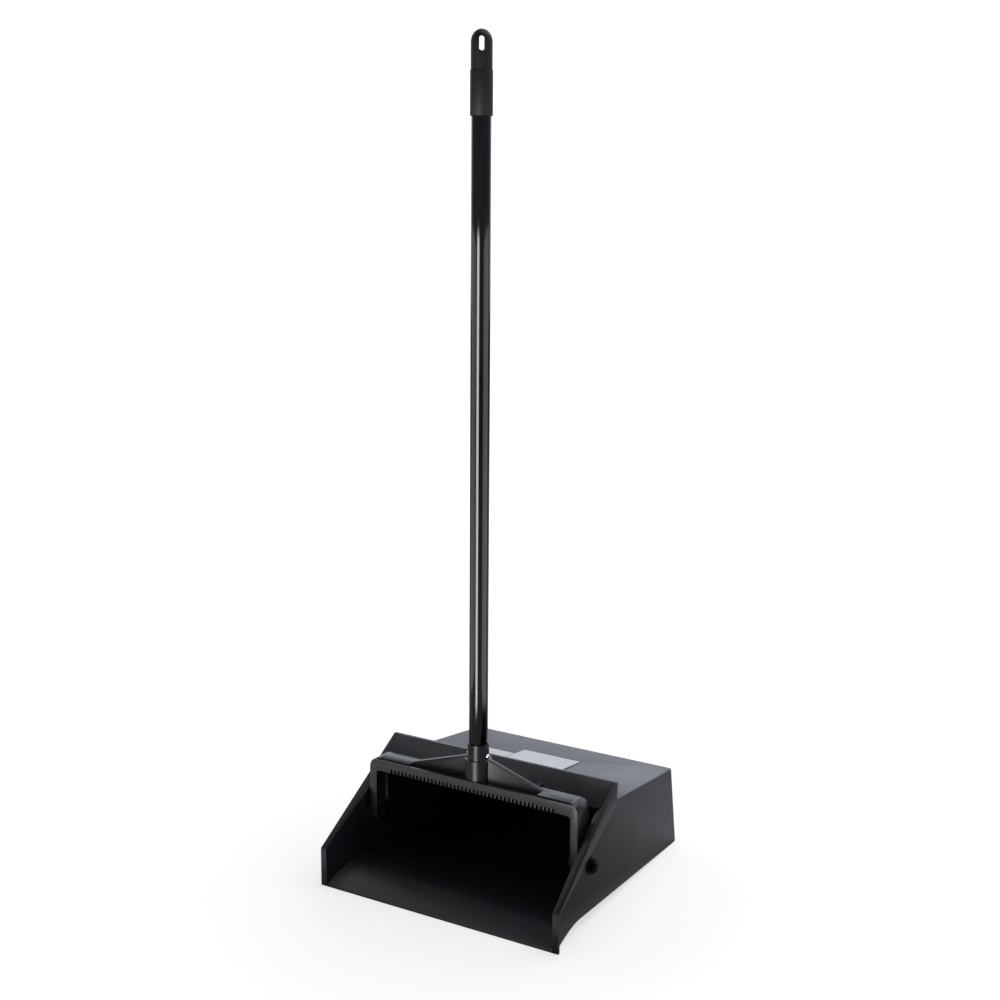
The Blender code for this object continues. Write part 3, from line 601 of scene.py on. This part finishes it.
bpy.ops.object.select_all(action="DESELECT")
bpy.ops.mesh.primitive_cube_add(
    size=1.0, location=((inner_x + outer_x) / 2, LIP + RIM_THICK / 2, LIP_SIDE_Z / 2))
rim = begin("mouth_rim")
bpy.ops.transform.resize(value=(outer_x - inner_x, RIM_THICK, LIP_SIDE_Z))
pick("VERT", lambda m, v: m.z > LIP_SIDE_Z / 2 and m.y > LIP + RIM_THICK / 2)
bpy.ops.transform.translate(value=(0.0, 0.0, bend_z - LIP_SIDE_Z))
pick("FACE", lambda m, f: f.normal.z > 0.5)
pull(-SIDE_TAPER * PEAK.y, PEAK.y, PEAK.z - LIP_SIDE_Z)
end_z = RIDGE_FOOT.z - RIM_END_SINK
under_peak = bend_z + (end_z - bend_z) * (PEAK.y - RIM_THICK) / (RIDGE_FOOT.y - RIM_THICK)
pick("VERT", lambda m, v: m.y > LIP + PEAK.y + RIM_THICK / 2)
bpy.ops.transform.translate(value=(0.0, -RIM_THICK, under_peak - bend_z - PEAK.z + LIP_SIDE_Z))
pick("FACE", lambda m, f: abs(m.y - LIP - PEAK.y) < RIM_THICK / 10)
pull(-SIDE_TAPER * (RIDGE_TOP.y - PEAK.y), RIDGE_TOP.y - PEAK.y, 0.0)
pick("VERT", lambda m, v: m.y > LIP + PEAK.y + RIM_THICK / 2 and m.z < PEAK.z - RIM_THICK / 2)
bpy.ops.transform.translate(value=(0.0, 0.0, end_z - under_peak))
only(rim)
other_rim = mirrored(rim, "mouth_rim_left")
only(rim)
bpy.ops.object.transform_apply(location=True, rotation=True, scale=True)
print("rims are", round((outer_x - inner_x) * 1000, 1), "mm wide")

# %% [markdown]
# ## Pads for the pivots
# The moulding is thicker round each pivot hole, so that the bolt doesn't tear it. Each pad is a
# short cylinder on the pivot's axis, with an inset ring for its edge. It is joined to the bin
# with the rims, and then one Bevel modifier softens every edge of the joined piece alike.

# %% Pads for the pivots
PAD_R, PAD_INSET = 0.0115, 0.0012
MOULDED_GAP = 0.0003
PIVOT = Vector(frame["joints"][0]["pos_m"])
washer_low, washer_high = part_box("outer_washer_right")
thrust_low, thrust_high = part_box("thrust_washer_right")
pad_low, pad_high = thrust_high.x + MOULDED_GAP, washer_low.x - MOULDED_GAP
pads = []
for side in (-1, 1):
    bpy.ops.object.select_all(action="DESELECT")
    bpy.ops.mesh.primitive_cylinder_add(
        vertices=64, radius=PAD_R, depth=pad_high - pad_low,
        location=(side * (pad_low + pad_high) / 2, PIVOT.y, PIVOT.z),
        rotation=(0.0, math.pi / 2, 0.0))
    pads.append(begin(f"pivot_pad_{side + 1}"))
    pick("FACE", lambda m, f: len(f.verts) > 8)
    bpy.ops.mesh.inset(thickness=PAD_INSET)
    only(pads[-1])
    bpy.ops.object.transform_apply(location=True, rotation=True, scale=True)
add_to(bin_shell, rim, other_rim, *pads)
soften(bin_shell, 0.0006, segments=2, angle=28.0)
complete(bin_shell, bin_plastic, "pan_plastic", "pan", "pan_body", smooth=30.0)

# %% [markdown]
# ## The yoke
# The yoke is a crowded moulding: arms with pockets, bosses, a comb, two gussets and a socket. The
# measured model already has every one of those shapes at its true size, with knife-sharp edges
# as in a drawing. Real mouldings have a small radius everywhere, because plastic doesn't fill a
# sharp corner. So this piece is a copy of the measured mesh: its loose triangles are merged,
# flat areas are dissolved into single faces, and every edge gets a radius of 0.35 mm.

# %% Soften a copy of the measured yoke
def copy_of(node, name):
    """A copy of a measured node, with its loose triangles merged into clean faces."""
    source = frame["nodes"][node]
    piece = bpy.data.objects.new(name, source.data.copy())
    bpy.context.scene.collection.objects.link(piece)
    only(piece)
    bpy.ops.object.mode_set(mode="EDIT")
    bpy.ops.mesh.select_all(action="SELECT")
    bpy.ops.mesh.remove_doubles(threshold=0.00001)
    bpy.ops.mesh.dissolve_limited(angle_limit=math.radians(1.0))
    only(piece)
    return piece


yoke = copy_of("yoke", "comb_yoke")
before = len(yoke.data.polygons)
soften(yoke, 0.00035, segments=2, angle=30.0)
complete(yoke, yoke_plastic, "yoke_plastic", "handle", "yoke", smooth=32.0)
on_yoke.objects.link(yoke)
print("the yoke went from", before, "to", len(yoke.data.polygons), "faces")

# %% [markdown]
# ## The tube
# The handle is drawn steel tube, 21 mm across. A cylinder without ends is the right start, and
# Solidify gives it the thin steel wall, because the ends are open inside the socket and the cap.

# %% Tube
tube_low, tube_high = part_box("handle_tube")
tube_centre = (tube_low + tube_high) / 2
tube_radius = (tube_high.x - tube_low.x) / 2
bpy.ops.object.select_all(action="DESELECT")
bpy.ops.mesh.primitive_cylinder_add(
    vertices=128, radius=tube_radius, depth=tube_high.z - tube_low.z,
    end_fill_type="NOTHING", location=tube_centre)
tube = begin("enamelled_tube")
only(tube)
modify(tube, "SOLIDIFY", thickness=0.001, offset=-1.0)
soften(tube, 0.0003, segments=2, angle=40.0)
complete(tube, enamel, "handle_enamel", "handle", "handle_tube")
tube_length = tube_high.z - tube_low.z
print("tube", round(tube_radius * 2000, 1), "mm across,", round(tube_length, 3), "m long")

# %% [markdown]
# ## Grip sleeve
# The grip is in two parts that meet at a fine seam: a sleeve, and a domed cap with a slot for a
# wall hook. The sleeve is a plain tube of plastic, so a cylinder without ends, given its wall by
# Solidify and small radii by Bevel, is all that it takes.

# %% Sleeve
sleeve_low, sleeve_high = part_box("grip_sleeve")
sleeve_radius = (sleeve_high.x - sleeve_low.x) / 2
bpy.ops.object.select_all(action="DESELECT")
bpy.ops.mesh.primitive_cylinder_add(
    vertices=96, radius=sleeve_radius, depth=sleeve_high.z - sleeve_low.z,
    end_fill_type="NOTHING", location=(sleeve_low + sleeve_high) / 2)
sleeve = begin("grip_sleeve_moulding")
only(sleeve)
modify(sleeve, "SOLIDIFY", thickness=sleeve_radius - tube_radius - MOULDED_GAP, offset=-1.0)
soften(sleeve, 0.0004, segments=3, angle=40.0)
complete(sleeve, grip_plastic, "grip_polymer", "handle", "grip_sleeve")

# %% [markdown]
# ## Hang cap
# The cap has a spigot that is pushed into the tube, and a dome on top. It could be spun from half
# an outline. Pulling up a ring of edges, and making it smaller each time, gives the same shape
# and shows every step.

# %% Dome of the cap
cap_low, cap_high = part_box("hang_cap")
CAP_HEIGHT, CAP_DOME = 0.040, 0.013
SPIGOT_DEPTH = 0.020
spigot_radius = tube_radius - 0.0013  # the tube's 1 mm wall and the gap
cap_radius = (cap_high.x - cap_low.x) / 2
cap_axis = Vector(((cap_low.x + cap_high.x) / 2, (cap_low.y + cap_high.y) / 2, 0.0))
cap_base = cap_high.z - CAP_HEIGHT
spring = cap_high.z - CAP_DOME

bpy.ops.object.select_all(action="DESELECT")
bpy.ops.mesh.primitive_circle_add(
    vertices=96, radius=spigot_radius,
    location=cap_axis + Vector((0.0, 0.0, cap_base - SPIGOT_DEPTH)))
cap = begin("domed_hang_cap")
bpy.ops.mesh.select_all(action="SELECT")
bpy.ops.mesh.edge_face_add()
bpy.ops.mesh.select_mode(type="EDGE")
pick("EDGE", lambda m, e: True)
pull(0.0, 0.0, SPIGOT_DEPTH)
pull(0.0, 0.0, 0.0)
wider = cap_radius / spigot_radius
bpy.ops.transform.resize(
    value=(wider, wider, 1.0), center_override=(cap_axis.x, cap_axis.y, cap_base))
for share in (0.02, 0.4, 0.75, 1.0):
    ring_z = cap_base + (spring - cap_base) * share
    ring = [v for v in bmesh.from_edit_mesh(cap.data).verts if v.select]
    pull(0.0, 0.0, ring_z - max((cap.matrix_world @ v.co).z for v in ring))
angle = 0.0
for i in range(1, 11):
    last, angle = angle, math.pi / 2 * i / 11
    pull(0.0, 0.0, CAP_DOME * (math.sin(angle) - math.sin(last)))
    smaller = math.cos(angle) / math.cos(last)
    bpy.ops.transform.resize(
        value=(smaller, smaller, 1.0), center_override=(cap_axis.x, cap_axis.y, 0.0))
pull(0.0, 0.0, CAP_DOME * (1.0 - math.sin(angle)))
bpy.ops.mesh.merge(type="CENTER")
bpy.ops.mesh.select_all(action="SELECT")
bpy.ops.mesh.normals_make_consistent(inside=False)
only(cap)
bpy.ops.object.transform_apply(location=True, rotation=True, scale=True)
cap_top = max(v.co.z for v in cap.data.vertices)
print("cap", len(cap.data.polygons), "faces, top at", round(cap_top, 4))

# %% [markdown]
# ## Hang slot
# The slot goes right through the cap and opens out at both mouths, so that a hook finds it. A
# block with round ends, flared at both its ends, is cut out with a Boolean modifier, which is
# surer here than joining two holes by hand. The slot is turned about a third of a right angle.

# %% Cut the hang slot
SLOT_TURN = math.radians(38.0)
SLOT_HEIGHT, SLOT_WIDTH, SLOT_MOUTH = 0.0145, 0.0050, 0.0086
SLOT_DOWN = 0.014
slot_centre = Vector((cap_axis.x, cap_axis.y, cap_high.z - SLOT_DOWN))
bpy.ops.object.select_all(action="DESELECT")
bpy.ops.mesh.primitive_cube_add(size=1.0, location=(0.0, 0.0, 0.0))
slot_cutter = begin("slot_cutter")
bpy.ops.transform.resize(value=(SLOT_WIDTH, 2 * cap_radius + 0.004, SLOT_HEIGHT))
pick("EDGE", lambda m, e: abs(m.x) > SLOT_WIDTH / 3 and abs(m.z) > SLOT_HEIGHT / 3)
bpy.ops.mesh.bevel(offset=SLOT_WIDTH * 0.499, segments=8, affect="EDGES")
bpy.ops.mesh.select_all(action="SELECT")
bpy.ops.mesh.bisect(plane_co=(0.0, 0.0, 0.0), plane_no=(0.0, 1.0, 0.0))
for end in (-1, 1):
    pick("VERT", lambda m, v: m.y * end > cap_radius)
    flare = SLOT_MOUTH / SLOT_WIDTH
    bpy.ops.transform.resize(value=(flare, 1.0, 1.15), center_override=(0.0, 0.0, 0.0))
bpy.ops.mesh.select_all(action="SELECT")
bpy.ops.mesh.normals_make_consistent(inside=False)
only(slot_cutter)
slot_cutter.matrix_world = Matrix.Translation(slot_centre) @ Matrix.Rotation(SLOT_TURN, 4, "Z")
bpy.context.view_layer.update()
modify(cap, "BOOLEAN", object=slot_cutter, operation="DIFFERENCE", solver="EXACT")
bpy.data.objects.remove(slot_cutter, do_unlink=True)
soften(cap, 0.0005, segments=3, angle=38.0)
complete(cap, grip_plastic, "grip_polymer", "handle", "hang_cap", smooth=40.0)

# %% [markdown]
# ## Rivet
# A rivet through the socket holds the tube in it. It is one thin shank, and at each end the round
# face is pulled out in steps, wide and then narrower, into a low domed head that catches the
# light. Two half balls would be easier, but a set rivet is flatter than that.

# %% Rivet through the socket
rivet_low, rivet_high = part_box("socket_rivet")
rivet_centre = (rivet_low + rivet_high) / 2
HEAD_THICK, SHANK_R = 0.0016, 0.0016
head_radius = (rivet_high.z - rivet_low.z) / 2
bpy.ops.object.select_all(action="DESELECT")
bpy.ops.mesh.primitive_cylinder_add(
    vertices=40, radius=SHANK_R, depth=rivet_high.x - rivet_low.x - 2 * HEAD_THICK,
    location=rivet_centre, rotation=(0.0, math.pi / 2, 0.0))
rivet = begin("socket_rivet_zinc")
for side in (-1, 1):
    pick("FACE", lambda m, f: len(f.verts) > 8 and (m.x - rivet_centre.x) * side > 0)
    pull(0.0, 0.0, 0.0)
    wide = head_radius / SHANK_R
    bpy.ops.transform.resize(value=(1.0, wide, wide), center_override=rivet_centre)
    pull(side * HEAD_THICK * 0.45, 0.0, 0.0)
    for rise, narrow in ((0.35, 0.86), (0.20, 0.62)):
        pull(side * HEAD_THICK * rise, 0.0, 0.0)
        bpy.ops.transform.resize(value=(1.0, narrow, narrow), center_override=rivet_centre)
only(rivet)
complete(rivet, zinc, "rivet_steel", "handle", "socket_rivet", smooth=50.0)

# %% [markdown]
# ## Pivot bolts
# Each pivot is a bolt with its hexagon head inside the arm, a nylon thrust washer next to it, and
# a steel washer and a lock nut outside. A cylinder with six sides makes the head. Each piece is
# modelled once, on the right, and a copy with its own mesh is mirrored to the left.

# %% Bolts
bolt_low, bolt_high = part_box("pivot_bolt_right")
HEAD_DEPTH, BOLT_R = 0.005, 0.004
bpy.ops.object.select_all(action="DESELECT")
bpy.ops.mesh.primitive_cylinder_add(
    vertices=6, radius=(bolt_high.z - bolt_low.z) / 2, depth=HEAD_DEPTH,
    location=(bolt_low.x + HEAD_DEPTH / 2, PIVOT.y, PIVOT.z), rotation=(0.0, math.pi / 2, 0.0))
bolt = begin("hinge_bolt_right")
pick("FACE", lambda m, f: len(f.verts) == 6 and m.x < bolt_low.x + HEAD_DEPTH / 2)
bpy.ops.mesh.inset(thickness=0.0009)
only(bolt)
bpy.ops.object.transform_apply(location=True, rotation=True, scale=True)
bpy.ops.object.select_all(action="DESELECT")
bpy.ops.mesh.primitive_cylinder_add(
    vertices=40, radius=BOLT_R, depth=bolt_high.x - bolt_low.x - HEAD_DEPTH / 2,
    location=((bolt_low.x + HEAD_DEPTH / 2 + bolt_high.x) / 2, PIVOT.y, PIVOT.z),
    rotation=(0.0, math.pi / 2, 0.0))
shank = begin("bolt_shank")
only(shank)
bpy.ops.object.transform_apply(location=True, rotation=True, scale=True)
add_to(bolt, shank)
soften(bolt, 0.0004, segments=2, angle=50.0)
left_bolt = mirrored(bolt, "hinge_bolt_left")
complete(bolt, black_oxide, "bolt_steel", "pan", "pivot_bolt_right")
complete(left_bolt, black_oxide, "bolt_steel", "pan", "pivot_bolt_left")

# %% [markdown]
# ## Washers
# Both kinds are flat rings, stamped or moulded. One function makes any of them from its measured
# node: a cylinder without ends, given its width inwards by Solidify.

# %% Washers
def ring_piece(name, node, hole):
    """A flat ring on the pivot, as wide and thick as its measured node."""
    low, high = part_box(node)
    radius = (high.z - low.z) / 2
    bpy.ops.object.select_all(action="DESELECT")
    bpy.ops.mesh.primitive_cylinder_add(
        vertices=64, radius=radius, depth=high.x - low.x, end_fill_type="NOTHING",
        location=((low.x + high.x) / 2, PIVOT.y, PIVOT.z), rotation=(0.0, math.pi / 2, 0.0))
    ring = begin(name)
    only(ring)
    bpy.ops.object.transform_apply(location=True, rotation=True, scale=True)
    modify(ring, "SOLIDIFY", thickness=radius - hole, offset=-1.0)
    soften(ring, 0.0002, segments=2, angle=40.0)
    return ring


HOLE_R = 0.0043
for shape, node, finish, slot in (("steel_washer", "outer_washer", black_oxide, "bolt_steel"),
                                  ("nylon_washer", "thrust_washer", nylon, "washer_nylon")):
    right = ring_piece(f"{shape}_right", f"{node}_right", HOLE_R)
    left = mirrored(right, f"{shape}_left")
    complete(right, finish, slot, "pan", f"{node}_right")
    complete(left, finish, slot, "pan", f"{node}_left")

# %% [markdown]
# ## Lock nuts
# A lock nut is a hexagon with a round collar that holds a nylon ring. The two are joined with a
# Boolean union and then drilled, because the real nut is one piece with one bore.

# %% Lock nuts
nut_low, nut_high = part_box("lock_nut_right")
COLLAR_DEPTH = 0.0014
nut_radius = (nut_high.z - nut_low.z) / 2
bpy.ops.object.select_all(action="DESELECT")
bpy.ops.mesh.primitive_cylinder_add(
    vertices=6, radius=nut_radius, depth=nut_high.x - nut_low.x - COLLAR_DEPTH,
    location=((nut_low.x + nut_high.x - COLLAR_DEPTH) / 2, PIVOT.y, PIVOT.z),
    rotation=(0.0, math.pi / 2, 0.0))
nut = begin("lock_nut_hex_right")
only(nut)
bpy.ops.object.transform_apply(location=True, rotation=True, scale=True)
soften(nut, 0.0005, segments=2, angle=70.0)
bpy.ops.object.select_all(action="DESELECT")
bpy.ops.mesh.primitive_cylinder_add(
    vertices=48, radius=nut_radius * 0.80, depth=nut_high.x - nut_low.x,
    location=((nut_low.x + nut_high.x) / 2, PIVOT.y, PIVOT.z), rotation=(0.0, math.pi / 2, 0.0))
nut_collar = begin("nut_collar")
only(nut_collar)
bpy.ops.object.transform_apply(location=True, rotation=True, scale=True)
soften(nut_collar, 0.0006, segments=3, angle=50.0)
modify(nut, "BOOLEAN", object=nut_collar, operation="UNION", solver="EXACT")
bpy.data.objects.remove(nut_collar, do_unlink=True)
bpy.ops.object.select_all(action="DESELECT")
bpy.ops.mesh.primitive_cylinder_add(
    vertices=40, radius=HOLE_R, depth=0.03,
    location=((nut_low.x + nut_high.x) / 2, PIVOT.y, PIVOT.z), rotation=(0.0, math.pi / 2, 0.0))
drill = begin("nut_drill")
only(drill)
modify(nut, "BOOLEAN", object=drill, operation="DIFFERENCE", solver="EXACT")
bpy.data.objects.remove(drill, do_unlink=True)
left_nut = mirrored(nut, "lock_nut_hex_left")
complete(nut, black_oxide, "bolt_steel", "pan", "lock_nut_right")
complete(left_nut, black_oxide, "bolt_steel", "pan", "lock_nut_left")

# %% [markdown]
# ## The labels
# Two rectangles of film lie side by side on the sloping top of the bin, both blank. A real label
# never has sharp corners, because they would lift, so the corners are rounded before the film
# gets its thickness. Each vertex then takes the slope of the top.

# %% Labels
TOP_FALL = (REAR_TOP.z - RIDGE_FOOT.z) / (REAR_TOP.y - RIDGE_FOOT.y)
LABEL_CORNER, FILM = 0.002, 0.0004
for node, name in (("info_label", "blank_label"), ("side_label", "blank_side_label")):
    label_low, label_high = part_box(node)
    size = label_high - label_low
    bpy.ops.object.select_all(action="DESELECT")
    bpy.ops.mesh.primitive_plane_add(size=1.0, location=(label_low + label_high) / 2)
    label = begin(name)
    bpy.ops.transform.resize(value=(size.x, size.y, 1.0))
    bpy.ops.mesh.select_all(action="SELECT")
    bpy.ops.mesh.bevel(offset=LABEL_CORNER, segments=5, affect="VERTICES")
    flat = bmesh.from_edit_mesh(label.data)
    for corner in flat.verts:
        corner.co.z = corner.co.y * TOP_FALL
    bmesh.update_edit_mesh(label.data)
    modify(label, "SOLIDIFY", thickness=FILM, offset=0.0)
    complete(label, label_film, "label_film", "pan", node)

# %% [markdown]
# ## Compare the size
# The finished pieces must fill the same box as the measured model.

# %% Compare the boxes
made_low, made_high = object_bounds()
growth = [round((b - a - (d - c)) * 1000, 2)
          for a, b, c, d in zip(made_low, made_high, cad_low, cad_high)]
print("the finished pan is bigger by", growth, "mm")
